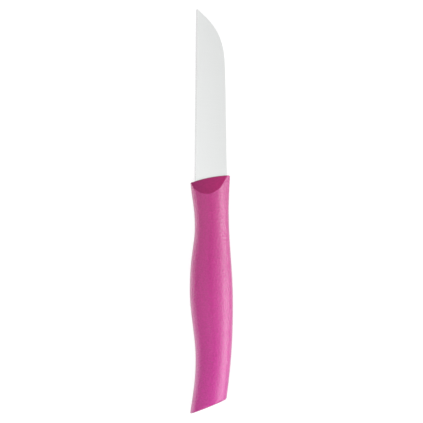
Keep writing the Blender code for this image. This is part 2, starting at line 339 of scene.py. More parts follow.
def move(step: Vector) -> None:
    """Move what is selected in edit mode."""
    bpy.ops.transform.translate(value=step)


def arc(before: Vector, corner: Vector, after: Vector, radius: float, steps: int) -> list[Vector]:
    """Points of the arc that replaces a corner between its two neighbours.

    Args:
        before: The outline's point before the corner.
        corner: The corner itself.
        after: The point after it.
        radius: The arc's radius.
        steps: How many stretches it has.

    Returns:
        The arc's points, both ends included.
    """
    back = (before - corner).normalized()
    ahead = (after - corner).normalized()
    half_angle = back.angle(ahead) / 2
    centre = corner + (back + ahead).normalized() * radius / math.sin(half_angle)
    start = corner + back * radius / math.tan(half_angle) - centre
    end = corner + ahead * radius / math.tan(half_angle) - centre
    return [
        centre + start.normalized().slerp(end.normalized(), step / steps) * radius
        for step in range(steps + 1)
    ]


@dataclass(frozen=True)
class Knot:
    """A point of a smooth curve along the handle.

    Attributes:
        depth: How far behind the datum it lies.
        reach: The curve's value there.
        flare: How the value grows with depth there.
        pull_before: How far the curve holds its direction before it, as a share of the span.
        pull_after: The same after it.
    """

    depth: float
    reach: float
    flare: float = 0.0
    pull_before: float = 0.4
    pull_after: float = 0.4


class Profile:
    """A value that changes from point to point along a line, straight between them."""

    def __init__(self, points: list[tuple[float, float]]) -> None:
        """Take the points.

        Args:
            points: Pairs of a place on the line and the value there, in the order of the places.
        """
        self.points = points

    @classmethod
    def smooth(cls, *knots: Knot) -> "Profile":
        """Draw a smooth curve through knots.

        Args:
            knots: The knots, from the front to the butt.

        Returns:
            The value against the depth behind the datum.
        """
        points = []
        for near, far in zip(knots, knots[1:]):
            span = far.depth - near.depth
            leaving = near.pull_after * span
            arriving = far.pull_before * span
            points += interpolate_bezier(
                Vector((near.depth, near.reach)),
                Vector((near.depth + leaving, near.reach + near.flare * leaving)),
                Vector((far.depth - arriving, far.reach - far.flare * arriving)),
                Vector((far.depth, far.reach)),
                CURVE_STEPS,
            )
        return cls([(point.x, point.y) for point in points])

    def at(self, place: float) -> float:
        """Read the value at a place.

        Args:
            place: The place on the line.

        Returns:
            The value there, or at the nearest end of the line.
        """
        index = bisect_right(self.points, (place, math.inf))
        index = min(max(index, 1), len(self.points) - 1)
        (near, before), (far, after) = self.points[index - 1], self.points[index]
        share = (place - near) / (far - near) if far > near else 0.0
        return before + (after - before) * min(max(share, 0.0), 1.0)


class NodeSheet:
    """A sheet of shader nodes, of the world or of a material."""

    def __init__(self, tree: bpy.types.NodeTree) -> None:
        """Take the sheet as it is.

        Args:
            tree: The node tree to work on.
        """
        self.tree = tree

    def add(self, kind: str, **values: object) -> bpy.types.Node:
        """Add a node.

        Args:
            kind: The node's type.
            values: Values of its inputs, named in lower case with underscores.

        Returns:
            The node.
        """
        node = self.tree.nodes.new(kind)
        self.set(node, **values)
        return node

    def set(self, node: bpy.types.Node, **values: object) -> None:
        """Set inputs of a node, named in lower case with underscores.

        Args:
            node: The node.
            values: The inputs' values.
        """
        for socket in node.inputs:
            key = socket.name.lower().replace(" ", "_")
            if key in values and socket.enabled:
                socket.default_value = values[key]

    def join(self, source: bpy.types.NodeSocket, target: bpy.types.NodeSocket) -> None:
        """Link an output to an input."""
        self.tree.links.new(source, target)

    def maths(self, operation: str, *terms: bpy.types.NodeSocket | float) -> bpy.types.NodeSocket:
        """Work out a number from others.

        Args:
            operation: The Math node's operation.
            terms: Its inputs, each an output to link or a plain number.

        Returns:
            The result.
        """
        node = self.add("ShaderNodeMath")
        node.operation = operation
        for term, socket in zip(terms, node.inputs):
            if isinstance(term, bpy.types.NodeSocket):
                self.join(term, socket)
            else:
                socket.default_value = term
        return node.outputs["Value"]


class MaterialSheet(NodeSheet):
    """The node sheet of one material."""

    def __init__(self, name: str) -> None:
        """Start a material that has only its Principled shader and its output.

        Args:
            name: The material's name.
        """
        self.material = bpy.data.materials.new(name)
        self.material.use_nodes = True
        super().__init__(self.material.node_tree)
        self.shader = self.tree.nodes["Principled BSDF"]

    def pattern(self, pitch: Vector, detail: float) -> bpy.types.NodeSocket:
        """Make a noise that stays fixed to the piece.

        Args:
            pitch: The size of its features along X, Y and Z.
            detail: How many finer layers it has.

        Returns:
            The noise's output, from 0 to 1.
        """
        coordinates = self.add("ShaderNodeTexCoord")
        mapping = self.add("ShaderNodeMapping", scale=[1.0 / size for size in pitch])
        noise = self.add("ShaderNodeTexNoise", scale=1.0, detail=detail)
        self.join(coordinates.outputs["Object"], mapping.inputs["Vector"])
        self.join(mapping.outputs["Vector"], noise.inputs["Vector"])
        return noise.outputs["Fac"]

    def along(self, axis: str, start: float, end: float) -> bpy.types.NodeSocket:
        """Tell how far a point of the piece lies along an axis.

        Args:
            axis: The axis, X, Y or Z.
            start: The place on it where the output is 0.
            end: The place where it is 1.

        Returns:
            The output, which stays at 0 before the start and at 1 beyond the end.
        """
        coordinates = self.add("ShaderNodeTexCoord")
        places = self.add("ShaderNodeSeparateXYZ")
        share = self.add("ShaderNodeMapRange", from_min=start, from_max=end)
        self.join(coordinates.outputs["Object"], places.inputs["Vector"])
        self.join(places.outputs[axis], share.inputs["Value"])
        return share.outputs["Result"]

    def product(self, first: bpy.types.NodeSocket, second: bpy.types.NodeSocket) -> bpy.types.NodeSocket:
        """Multiply two colours.

        Args:
            first: The output that gives the one.
            second: The output that gives the other.

        Returns:
            The product's output.
        """
        node = self.add("ShaderNodeVectorMath")
        node.operation = "MULTIPLY"
        self.join(first, node.inputs[0])
        self.join(second, node.inputs[1])
        return node.outputs["Vector"]

    def between(self, source: bpy.types.NodeSocket, low: float, high: float) -> bpy.types.NodeSocket:
        """Map an output from 0 to 1 on another range.

        Args:
            source: The output.
            low: What a 0 becomes.
            high: What a 1 becomes.

        Returns:
            The mapped output.
        """
        node = self.add("ShaderNodeMapRange", to_min=low, to_max=high)
        self.join(source, node.inputs["Value"])
        return node.outputs["Result"]

    def blend(
        self, source: bpy.types.NodeSocket, low: Colour, high: Colour, spread: float = 1.0
    ) -> bpy.types.NodeSocket:
        """Blend two colours by an output from 0 to 1.

        Args:
            source: The output.
            low: The colour where it is low.
            high: The colour where it is high.
            spread: The stretch round its middle that the blend takes, less for a harder one.

        Returns:
            The blended colour.
        """
        ramp = self.tree.nodes.new("ShaderNodeValToRGB")
        first, last = ramp.color_ramp.elements
        first.position = (1.0 - spread) / 2
        first.color = (*low, 1.0)
        last.position = (1.0 + spread) / 2
        last.color = (*high, 1.0)
        self.join(source, ramp.inputs["Fac"])
        return ramp.outputs["Color"]

    def relief(self, source: bpy.types.NodeSocket, height: float) -> None:
        """Raise the surface by an output from 0 to 1.

        Args:
            source: The output.
            height: How high a 1 stands.
        """
        bump = self.add("ShaderNodeBump", strength=1.0, distance=height)
        self.join(source, bump.inputs["Height"])
        self.join(bump.outputs["Normal"], self.shader.inputs["Normal"])


@dataclass(frozen=True)
class GroundSteel:
    """Stainless steel with the fine lines that a grinding wheel leaves.

    Attributes:
        name: The material's name.
        lines: Which way the lines run.
        bright: Its colour where it is cleanest.
        dull: Its colour in the lines.
        smooth: Its least roughness.
        rough: Its greatest roughness.
        line_pitch: The distance from line to line.
        line_length: How far a line runs.
        line_depth: How deep a line would be where the noise that makes them is 0.
        line_detail: How many finer layers of lines there are.
        edge_painted_shade: What its colour is multiplied by towards the cutting edge, for the painted shade
            across the blade.
        spine_painted_shade: The same towards the spine, where the painted shade makes the flat a little
            darker.
    """

    name: str
    lines: GroundLines
    bright: Colour = (0.91, 0.925, 0.918)
    dull: Colour = (0.86, 0.875, 0.868)
    smooth: float = 0.28
    rough: float = 0.36
    line_pitch: float = 0.00012
    line_length: float = 0.006
    line_depth: float = 0.0000015
    line_detail: float = 3.0
    edge_painted_shade: Colour = (1.0, 1.0, 1.0)
    spine_painted_shade: Colour = (0.95, 0.95, 0.95)

    def material(self) -> bpy.types.Material:
        """Build the material.

        Returns:
            The material.
        """
        sheet = MaterialSheet(self.name)
        pitch = Vector.Fill(3, self.line_length)
        pitch[1 if self.lines is GroundLines.ACROSS else 0] = self.line_pitch
        lines = sheet.pattern(pitch, self.line_detail)
        surface = sheet.blend(lines, self.dull, self.bright)
        # Painted shade: the colour grows a little darker from the cutting edge to the spine, standing in for
        # how the light falls across the flat.
        painted_shading = sheet.blend(sheet.along("X", *KNIFE_ACROSS), self.edge_painted_shade, self.spine_painted_shade)
        sheet.set(sheet.shader, metallic=1.0)
        sheet.join(sheet.product(surface, painted_shading), sheet.shader.inputs["Base Color"])
        sheet.join(sheet.between(lines, self.rough, self.smooth), sheet.shader.inputs["Roughness"])
        sheet.relief(lines, self.line_depth)
        return sheet.material


@dataclass(frozen=True)
class MouldedPlastic:
    """Magenta plastic with the grain that the mould's surface gives it.

    Attributes:
        name: The material's name.
        grain_pitch: The size of the grain's bumps.
        grain_height: How high a bump would stand where the noise that makes them is 1.
        grain_detail: How many finer layers of bumps there are.
        smooth: Its least roughness.
        rough: Its greatest roughness.
        sheen: How much its fine grain catches light that grazes it.
        sheen_spread: How widely that light spreads.
        front_colour: Its colour at the front of the handle.
        butt_painted_light_colour: Its colour at the butt. The change from the front's colour is painted
            light, lighter and bluer towards the butt, as the light falls there.
        fleck_shade: What the colour is multiplied by in the grain's hollows.
        fleck_spread: How softly the hollows' shade fades into the bumps', from 0 to 1.
        belly_painted_light: What the colour is multiplied by towards the cutting edge's side, as painted
            light and shade.
        back_painted_light: The same towards the spine's side.
        shine: How strongly the surface reflects.
    """

    name: str
    grain_pitch: float
    grain_height: float
    smooth: float
    rough: float
    grain_detail: float = 2.0
    sheen: float = 0.9
    sheen_spread: float = 0.45
    front_colour: Colour = (0.492, 0.0120, 0.197)
    butt_painted_light_colour: Colour = (0.538, 0.005, 0.256)
    fleck_shade: Colour = (0.82, 0.82, 0.82)
    fleck_spread: float = 0.4
    belly_painted_light: Colour = (1.0, 1.0, 1.0)
    back_painted_light: Colour = (1.0, 1.0, 1.0)
    shine: float = 0.60

    def material(self) -> bpy.types.Material:
        """Build the material.

        Returns:
            The material.
        """
        sheet = MaterialSheet(self.name)
        grain = sheet.pattern(Vector.Fill(3, self.grain_pitch), self.grain_detail)
        tone = sheet.blend(grain, self.fleck_shade, (1.0, 1.0, 1.0), self.fleck_spread)
        # Painted light: the colour grows lighter and bluer from the front to the butt, standing in for how
        # the light falls along the handle.
        colour = sheet.blend(sheet.along("Y", *HANDLE_ALONG), self.front_colour, self.butt_painted_light_colour)
        # Painted light and shade: the colour changes from the belly's side to the back's, standing in for
        # how the lamps light the two sides.
        painted_shading = sheet.blend(sheet.along("X", *KNIFE_ACROSS), self.belly_painted_light, self.back_painted_light)
        toned = sheet.product(colour, tone)
        sheet.join(sheet.product(toned, painted_shading), sheet.shader.inputs["Base Color"])
        sheet.join(sheet.between(grain, self.smooth, self.rough), sheet.shader.inputs["Roughness"])
        sheet.set(
            sheet.shader,
            specular_ior_level=self.shine,
            sheen_weight=self.sheen,
            sheen_roughness=self.sheen_spread,
        )
        sheet.relief(grain, self.grain_height)
        return sheet.material


# Both steels keep the painted shade that makes them a little darker towards the spine.
SATIN_FLAT = GroundSteel("satin_flat", GroundLines.ACROSS)
HONED_BEVEL = GroundSteel(
    "honed_bevel",
    GroundLines.LENGTHWISE,
    bright=(0.73, 0.73, 0.73),
    dull=(0.69, 0.69, 0.70),
    smooth=0.20,
    rough=0.26,
    line_pitch=0.00004,
)
# Its spine's side is painted a little lighter and bluer, as painted light from the lamps on that side.
GRAINED_SIDES = MouldedPlastic(
    "grained_sides",
    grain_pitch=0.00080,
    grain_height=0.00018,
    smooth=0.18,
    rough=0.26,
    back_painted_light=(1.03, 1.00, 1.10),
)
# The front's colour is painted light and shade across it: darker towards the belly and lighter and redder
# towards the back, standing in for how the light falls on its facets.
SMOOTH_FRONT = MouldedPlastic(
    "smooth_front",
    grain_pitch=0.00100,
    grain_height=0.00003,
    smooth=0.22,
    rough=0.28,
    sheen=0.7,
    shine=0.43,
    belly_painted_light=(0.80, 0.75, 0.73),
    back_painted_light=(1.19, 0.82, 0.97),
)


@dataclass
class Blade:
    """The stamped and ground sheet, with the tang that the handle hides.

    Attributes:
        reach: From the datum to the tip.
        edge_offset: From the tang's centre line to the cutting edge, level with the datum.
        edge_lean: What the edge gains towards the spine by the tip.
        spine_offset: From the tang's centre line to the straight spine, level with the datum.
        spine_lean: What the spine gains towards the edge where its drop begins.
        drop_length: The part of the blade whose spine drops to the tip.
        drop_angle: Between the end of the drop and the cutting edge.
        drop_pull_tip: How far the drop's curve holds its direction from the tip.
        drop_pull_spine: The same from the straight spine.
        tip_radius: The radius of the rounded tip.
        stock: The thickness of the sheet.
        apex: The thickness of the cutting edge itself.
        behind_edge: The thickness where the ground flats meet the edge bevel.
        bevel_width: The width of the edge bevel.
        bevel_margin: What that is multiplied by when the bevel's faces are picked.
        grind_width: From the edge to where the flats would reach the full sheet.
        plunge_depth: How far behind the datum the grinding stops.
        spine_ease: The width of the spine's eased corners along its drop.
        straight_ease: The share of that which they have along the straight spine.
        ease_growth: How far along the drop they reach their full width.
        ease_fade: How far before the tip they begin to grow narrower.
        tip_ease: The share of the full width which is left at the tip.
        heel_depth_spine: How far behind the datum the heel ends on the spine's side.
        heel_depth_edge: The same on the cutting edge's side.
        heel_inset: How much the heel stands back from both sides of the blade.
        tang_width: The width of the tang.
        tang_depth: How far behind the datum the tang ends.
        tang_end_radius: The radius of the corners at its end.
        tang_root_radius: The radius of the corners where it leaves the heel.
        key_hole: The diameter of the holes that the plastic fills.
        front_key_depth: How far behind the datum the front hole lies.
        rear_key_inset: How far before the tang's end the rear hole lies.
        spare: How far a block runs on past what it shapes.
        drop_steps: How many stretches the drop's curve has.
        corner_steps: How many stretches a rounded corner has.
        ease_steps: How many faces lie across an eased corner.
        ease_bands: In how many bands of equal length the drop is eased.
        hole_sides: How many sides a hole has.
        sharp_angle: Faces that meet at more than this angle meet in a sharp edge.
    """

    reach: float = 0.0796
    edge_offset: float = 0.0077
    edge_lean: float = 0.0007
    spine_offset: float = 0.00766
    spine_lean: float = 0.0008
    drop_length: float = 0.0293
    drop_angle: float = math.radians(45.0)
    drop_pull_tip: float = 0.0102
    drop_pull_spine: float = 0.0178
    tip_radius: float = 0.00055
    stock: float = 0.0013
    apex: float = 0.00004
    behind_edge: float = 0.0003
    bevel_width: float = 0.0006
    bevel_margin: float = 1.1
    grind_width: float = 0.0160
    plunge_depth: float = 0.0046
    spine_ease: float = 0.00012
    straight_ease: float = 0.2
    ease_growth: float = 0.0060
    ease_fade: float = 0.0060
    tip_ease: float = 0.1
    heel_depth_spine: float = 0.0055
    heel_depth_edge: float = 0.0090
    heel_inset: float = 0.0001
    tang_width: float = 0.0090
    tang_depth: float = 0.0720
    tang_end_radius: float = 0.0030
    tang_root_radius: float = 0.0015
    key_hole: float = 0.0045
    front_key_depth: float = 0.0230
    rear_key_inset: float = 0.0110
    spare: float = 0.0010
    drop_steps: int = 48
    corner_steps: int = 10
    ease_steps: int = 3
    ease_bands: int = 24
    hole_sides: int = 32
    sharp_angle: float = math.radians(32.0)

    def edge_x(self, y: float) -> float:
        """Where the cutting edge lies at y."""
        return -self.edge_offset + self.edge_lean * y / self.reach

    def spine_x(self, y: float) -> float:
        """Where the straight spine lies at y."""
        return self.spine_offset - self.spine_lean * y / (self.reach - self.drop_length)

    def datum(self) -> Vector:
        """Find the knife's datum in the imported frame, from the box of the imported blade.

        Returns:
            The datum.
        """
        low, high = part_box("blade")
        heel = self.edge_x(-self.heel_depth_edge)
        return Vector((low.x - heel, low.y + self.tang_depth, (low.z + high.z) / 2))

    def sides(self) -> tuple[Profile, Profile]:
        """Draw the blade's two sides, as X against Y, from its foot to the top of its tip.

        Returns:
            The profile of the cutting edge's side and that of the spine's.
        """
        foot = -self.plunge_depth - self.spare
        shoulder = self.reach - self.drop_length
        start = Vector((self.spine_x(shoulder), shoulder))
        tip = Vector((self.edge_x(self.reach), self.reach))
        along_spine = Vector((-self.spine_lean, shoulder)).normalized()
        from_tip = Vector((math.sin(self.drop_angle), -math.cos(self.drop_angle)))
        drop = interpolate_bezier(
            start,
            start + along_spine * self.drop_pull_spine,
            tip + from_tip * self.drop_pull_tip,
            tip,
            self.drop_steps + 1,
        )
        rounded = self.tip_radius / math.tan(self.drop_angle / 2)
        drop = [point for point in drop if (point - tip).length > rounded]
        foot_of_edge = Vector((self.edge_x(foot), foot))
        corner = arc(drop[-1], tip, foot_of_edge, self.tip_radius, self.corner_steps)
        top = corner.index(max(corner, key=lambda point: point.y))
        spine = [Vector((self.spine_x(foot), foot)), *drop, *corner[: top + 1]]
        edge = [foot_of_edge, *reversed(corner[top + 1 :])]
        return tuple(Profile([(point.y, point.x) for point in side]) for side in (edge, spine))

    def blank(self) -> Workpiece:
        """Draw a block out from station to station up to the tip.

        Returns:
            The blade before it is ground.
        """
        edge, spine = self.sides()
        stations = sorted({place for side in (edge, spine) for place, _ in side.points})
        half = self.stock / 2
        foot, first = stations[:2]
        low = Vector((edge.at(foot), foot, -half))
        blank = Workpiece.block("blade_ground", low, Vector((spine.at(foot), first, half)))
        with blank.in_edit_mode():
            self.narrow(blank, foot, first, edge, spine)
            for near, far in zip(stations[1:], stations[2:]):
                blank.pick(Element.FACE, lambda face: lies_across(face, "y", near))
                extrude(Vector((0.0, far - near, 0.0)))
                self.narrow(blank, near, far, edge, spine)
        return blank

    @staticmethod
    def narrow(blank: Workpiece, near: float, far: float, edge: Profile, spine: Profile) -> None:
        """Bring a new station's corners, which lie as at the last one, to the blade's two sides.

        Args:
            blank: The blank, in edit mode.
            near: Where the last station lies.
            far: Where the new one lies.
            edge: The profile of the cutting edge's side.
            spine: The profile of the spine's side.
        """
        for side in (edge, spine):
            step = Vector((side.at(far) - side.at(near), 0.0, 0.0))
            corner = Vector((side.at(near), far))
            blank.pick(Element.VERT, lambda vert: (vert.co.xy - corner).length < SAME_PLACE)
            move(step)

    def wheel(self, up: float, height: float, slope: float) -> Workpiece:
        """Make a grinding wheel, as a block with one face in the plane that it grinds.

        Args:
            up: On which side of the blade it grinds, 1 or -1.
            height: How far from the mid-plane the ground plane lies at the cutting edge.
            slope: How much further it lies for each metre from that edge.

        Returns:
            The block.
        """
        foot = -self.plunge_depth - self.spare * 2
        low = Vector((self.edge_x(0.0) - self.spare, foot, self.stock / 2))
        high = Vector((self.spine_offset + self.spare, self.reach + self.spare, self.grind_width))
        wheel = Workpiece.block("wheel", low, high)
        inward = Vector((self.reach, -self.edge_lean)).normalized()
        edge = Vector((self.edge_x(0.0), 0.0))
        with wheel.in_edit_mode():
            for corner in (low.xy, high.xy, Vector((low.x, high.y)), Vector((high.x, low.y))):
                level = height + slope * (corner - edge).dot(inward)
                wheel.pick(Element.VERT, lambda vert: self.is_low_corner(vert, corner))
                move(Vector((0.0, 0.0, level - low.z)))
            bpy.ops.mesh.select_all(action="SELECT")
            resize((1.0, 1.0, up), Vector((0.0, 0.0, 0.0)))
            bpy.ops.mesh.normals_make_consistent(inside=False)
        return wheel

    def is_low_corner(self, vert: bmesh.types.BMVert, corner: Vector) -> bool:
        """Whether a vertex is a wheel's lower one at a corner."""
        return (vert.co.xy - corner).length < SAME_PLACE and vert.co.z < self.stock

    def ground_part(self) -> Workpiece:
        """Grind the blank to its edge on both sides.

        Returns:
            The blade, without its heel and tang.
        """
        flat_slope = (self.stock - self.behind_edge) / 2 / (self.grind_width - self.bevel_width)
        flat_height = self.behind_edge / 2 - flat_slope * self.bevel_width
        bevel_slope = (self.behind_edge - self.apex) / 2 / self.bevel_width
        blade = self.blank()
        for up in (1.0, -1.0):
            blade.combine(self.wheel(up, flat_height, flat_slope), Cut.TAKE_AWAY)
            blade.combine(self.wheel(up, self.apex / 2, bevel_slope), Cut.TAKE_AWAY)
        self.ease_spine(blade)
        return blade

    def ease_spine(self, blade: Workpiece) -> None:
        """Round the two long corners of the spine, more along its drop and less again at the tip.

        Args:
            blade: The ground blade.
        """
        shoulder = self.reach - self.drop_length
        band = self.drop_length / self.ease_bands
        share = Profile([
            (shoulder, self.straight_ease),
            (shoulder + self.ease_growth, 1.0),
            (self.reach - self.ease_fade, 1.0),
            (self.reach, self.tip_ease),
        ])
        with blade.in_edit_mode():
            blade.pick(Element.EDGE, lambda edge: self.is_spine_corner(edge, -self.plunge_depth))
            bpy.ops.transform.edge_bevelweight(value=self.straight_ease)
            for step in range(self.ease_bands):
                start = shoulder + band * step
                blade.pick(Element.EDGE, lambda edge: self.is_spine_corner(edge, start))
                bpy.ops.transform.edge_bevelweight(value=share.at(start + band) - share.at(start))
        ease = blade.thing.modifiers.new("eased spine", "BEVEL")
        ease.limit_method = "WEIGHT"
        ease.width = self.spine_ease
        ease.segments = self.ease_steps
        ease.use_clamp_overlap = False
        bpy.ops.object.modifier_apply(modifier=ease.name)

    def is_spine_corner(self, edge: bmesh.types.BMEdge, start: float) -> bool:
        """Tell whether an edge is one of the two long corners of the spine or its drop.

        Args:
            edge: The edge.
            start: Where the corners begin to count, as Y.

        Returns:
            Whether it is one, beyond the start.
        """
        rises = sorted(abs(face.normal.z) for face in edge.link_faces)
        middle = (edge.verts[0].co + edge.verts[1].co) / 2
        inside = middle.x > self.edge_x(middle.y) + self.bevel_width
        return inside and middle.y > start and rises[0] < LEVEL < rises[-1]

    def tang(self) -> Workpiece:
        """Make the heel and the flat tang behind it, at the full thickness of the sheet.

        Returns:
            Both in one piece, with the holes.
        """
        half = self.tang_width / 2
        low = Vector((self.edge_x(0.0), -self.heel_depth_edge, -self.stock / 2))
        high = Vector((self.spine_offset, -self.plunge_depth, self.stock / 2))
        inset = Vector((self.heel_inset, 0.0, 0.0))
        tang = Workpiece.block("tang", low + inset, high - inset)
        end = Vector((0.0, -self.tang_depth, 0.0))
        with tang.in_edit_mode():
            rise = Vector((0.0, self.heel_depth_edge - self.heel_depth_spine, 0.0))
            tang.pick(Element.VERT, lambda vert: vert.co.x > 0.0 and vert.co.y < -self.heel_depth_spine)
            move(rise)
            for side in Side:
                tang.part(Vector((side.value * half, 0.0, 0.0)), Vector((1.0, 0.0, 0.0)))
            tang.pick(Element.FACE, self.is_tang_root)
            extrude(end)
            resize((1.0, 0.0, 1.0), end)
            for y, radius in ((end.y, self.tang_end_radius), (-self.heel_depth_edge, self.tang_root_radius)):
                tang.pick(Element.EDGE, lambda edge: self.is_tang_corner(edge, y))
                bpy.ops.mesh.bevel(offset=radius, segments=self.corner_steps)
        for y in (-self.front_key_depth, -self.tang_depth + self.rear_key_inset):
            tang.combine(self.key_drill(y), Cut.TAKE_AWAY)
        return tang

    def is_tang_root(self, face: bmesh.types.BMFace) -> bool:
        """Whether a face of the heel is the one that the tang grows from."""
        return face.normal.y < -LEVEL and abs(face.calc_center_median().x) < self.tang_width / 2

    def is_tang_corner(self, edge: bmesh.types.BMEdge, y: float) -> bool:
        """Tell whether an edge is one of the tang's upright corners.

        Args:
            edge: The edge.
            y: Where it should stand, give or take the slant of the heel.

        Returns:
            Whether it is one.
        """
        first, second = (vert.co for vert in edge.verts)
        upright = abs(first.z - second.z) > self.stock / 2
        at_side = abs(abs(first.x) - self.tang_width / 2) < SAME_PLACE
        near = abs(first.y - y) < self.heel_depth_edge - self.heel_depth_spine
        return upright and at_side and near

    def key_drill(self, y: float) -> Workpiece:
        """Make a drill for one of the holes that the plastic fills.

        Args:
            y: Where the hole lies.

        Returns:
            The drill.
        """
        foot = Vector((0.0, y, -self.stock))
        head = Vector((0.0, y, self.stock))
        return Workpiece.bar("key_drill", self.hole_sides, self.key_hole / 2, foot, head)

    def build(self) -> Workpiece:
        """Make the whole blade and dress it.

        Returns:
            The blade, in the knife's own frame.
        """
        blade = self.ground_part()
        blade.combine(self.tang(), Cut.JOIN)
        blade.wear(SATIN_FLAT.material(), HONED_BEVEL.material())
        with blade.in_edit_mode():
            blade.pick(Element.FACE, self.is_bevel)
            blade.thing.active_material_index = 1
            bpy.ops.object.material_slot_assign()
        blade.tidy(self.sharp_angle)
        return blade

    def is_bevel(self, face: bmesh.types.BMFace) -> bool:
        """Whether a face belongs to the edge bevel or to the apex."""
        width = self.bevel_width * self.bevel_margin
        return all(vert.co.x < self.edge_x(vert.co.y) + width for vert in face.verts)


@dataclass
class Handle:
    """The plastic body moulded round the tang.

    A depth is measured backwards from the datum, and a reach sideways from the tang's centre line.

    Attributes:
        length: The depth of the butt's corner on the belly, before that is rounded.
        butt_rise: How much less deep the butt's corner on the back is.
        butt_radius: The radius of the butt's rim.
        butt_crown: How far the middle of the butt's end stands out.
        front_belly_reach: The belly's reach at the front.
        waist_depth: The depth of the waist behind the front.
        waist_belly_reach: The belly's reach there.
        swell_depth: The depth of the finger swell.
        swell_belly_reach: The belly's reach there.
        hollow_inset: How far before the butt the hollow behind the swell lies.
        hollow_belly_reach: The belly's reach there.
        butt_belly_reach: The belly's reach at the butt.
        butt_belly_flare: How that reach grows with depth there.
        front_back_reach: The back's reach at the front.
        front_back_flare: How that reach grows with depth there.
        waist_back_depth: The depth of the back's waist.
        waist_back_reach: The back's reach there.
        crest_depth: The depth of the back's crest.
        crest_back_reach: The back's reach there.
        butt_back_reach: The back's reach at the butt.
        butt_back_flare: How that reach grows with depth there.
        front_thickness: The thickness at the front.
        waist_thickness: The thickness at the belly's waist.
        swell_thickness: The thickness at the swell.
        hollow_thickness: The thickness at the hollow.
        butt_thickness: The thickness at the butt.
        belly_fullness: The exponent of the section's curve on the belly, where an ellipse has 2.
        back_fullness: The same on the back.
        flank_start: The share of the back's reach where its flattening starts.
        flank_fade: The depth where the flattening has faded.
        front_radius: The radius of the arc that the land follows.
        front_crest: From the tang's centre line to that arc's furthest reach.
        land_width: The width of the narrow land round the blade.
        facet_angle: Between each facet of the front and the blade's mid-plane.
        ridge_radius: The radius of the ridge between the land and a facet.
        corner_radius: The radius of the front's two corners.
        corner_overrun: How far outside the handle's sides those corners begin.
        joint_gap: How far the slot's walls stand off from the blade.
        spare: How far a solid runs on past what it shapes.
        columns: How many sides the section has.
        rings: How many stretches the length has.
        ridge_steps: How many faces lie across a ridge.
        corner_steps: How many stretches a rounded corner has.
        arc_steps: How many stretches the front's arc has.
        crown_steps: How many rings the butt's end has.
        sharp_angle: Faces that meet at more than this angle meet in a sharp edge.
        belly: The belly's reach against the depth.
        back: The back's reach against the depth.
        thickness: The thickness against the depth.
    """

    length: float = 0.1135
    butt_rise: float = 0.0070
    butt_radius: float = 0.0009
    butt_crown: float = 0.0003
    front_belly_reach: float = 0.0099
    waist_depth: float = 0.0250
    waist_belly_reach: float = 0.00765
    swell_depth: float = 0.0545
    swell_belly_reach: float = 0.01004
    hollow_inset: float = 0.0257
    hollow_belly_reach: float = 0.0073
    butt_belly_reach: float = 0.00995
    butt_belly_flare: float = 0.13
    front_back_reach: float = 0.00925
    front_back_flare: float = -0.05
    waist_back_depth: float = 0.0170
    waist_back_reach: float = 0.00857
    crest_depth: float = 0.0610
    crest_back_reach: float = 0.01055
    butt_back_reach: float = 0.0075
    butt_back_flare: float = -0.12
    front_thickness: float = 0.0120
    waist_thickness: float = 0.0116
    swell_thickness: float = 0.0140
    hollow_thickness: float = 0.0126
    butt_thickness: float = 0.0120
    belly_fullness: float = 2.05
    back_fullness: float = 1.7
    flank_start: float = 0.58
    flank_fade: float = 0.0160
    front_radius: float = 0.0590
    front_crest: float = 0.0107
    land_width: float = 0.0030
    facet_angle: float = math.radians(30.0)
    ridge_radius: float = 0.00100
    corner_radius: float = 0.0009
    corner_overrun: float = 0.00006
    joint_gap: float = 0.00010
    spare: float = 0.0020
    columns: int = 64
    rings: int = 80
    ridge_steps: int = 4
    corner_steps: int = 6
    arc_steps: int = 32
    crown_steps: int = 5
    sharp_angle: float = math.radians(24.0)
    belly: Profile = field(init=False)
    back: Profile = field(init=False)
    thickness: Profile = field(init=False)

    def __post_init__(self) -> None:
        """Draw the three curves that the sections follow."""
        hollow_depth = self.length - self.hollow_inset
        back_end = self.length - self.butt_rise
        self.belly = Profile.smooth(
            Knot(-self.spare, self.front_belly_reach, pull_after=0.44),
            Knot(self.waist_depth, self.waist_belly_reach, pull_before=0.46, pull_after=0.25),
            Knot(self.swell_depth, self.swell_belly_reach, pull_before=0.56, pull_after=0.36),
            Knot(hollow_depth, self.hollow_belly_reach, pull_before=0.36, pull_after=0.43),
            Knot(self.length, self.butt_belly_reach, self.butt_belly_flare, pull_before=0.27),
        )
        self.back = Profile.smooth(
            Knot(-self.spare, self.front_back_reach, self.front_back_flare, pull_after=0.32),
            Knot(self.waist_back_depth, self.waist_back_reach, pull_before=0.37, pull_after=0.39),
            Knot(self.crest_depth, self.crest_back_reach, pull_before=0.39, pull_after=0.50),
            Knot(back_end, self.butt_back_reach, self.butt_back_flare, pull_before=0.26),
        )
        self.thickness = Profile.smooth(
            Knot(-self.spare, self.front_thickness),
            Knot(self.waist_depth, self.waist_thickness),
            Knot(self.swell_depth, self.swell_thickness),
            Knot(hollow_depth, self.hollow_thickness),
            Knot(self.length, self.butt_thickness),
        )

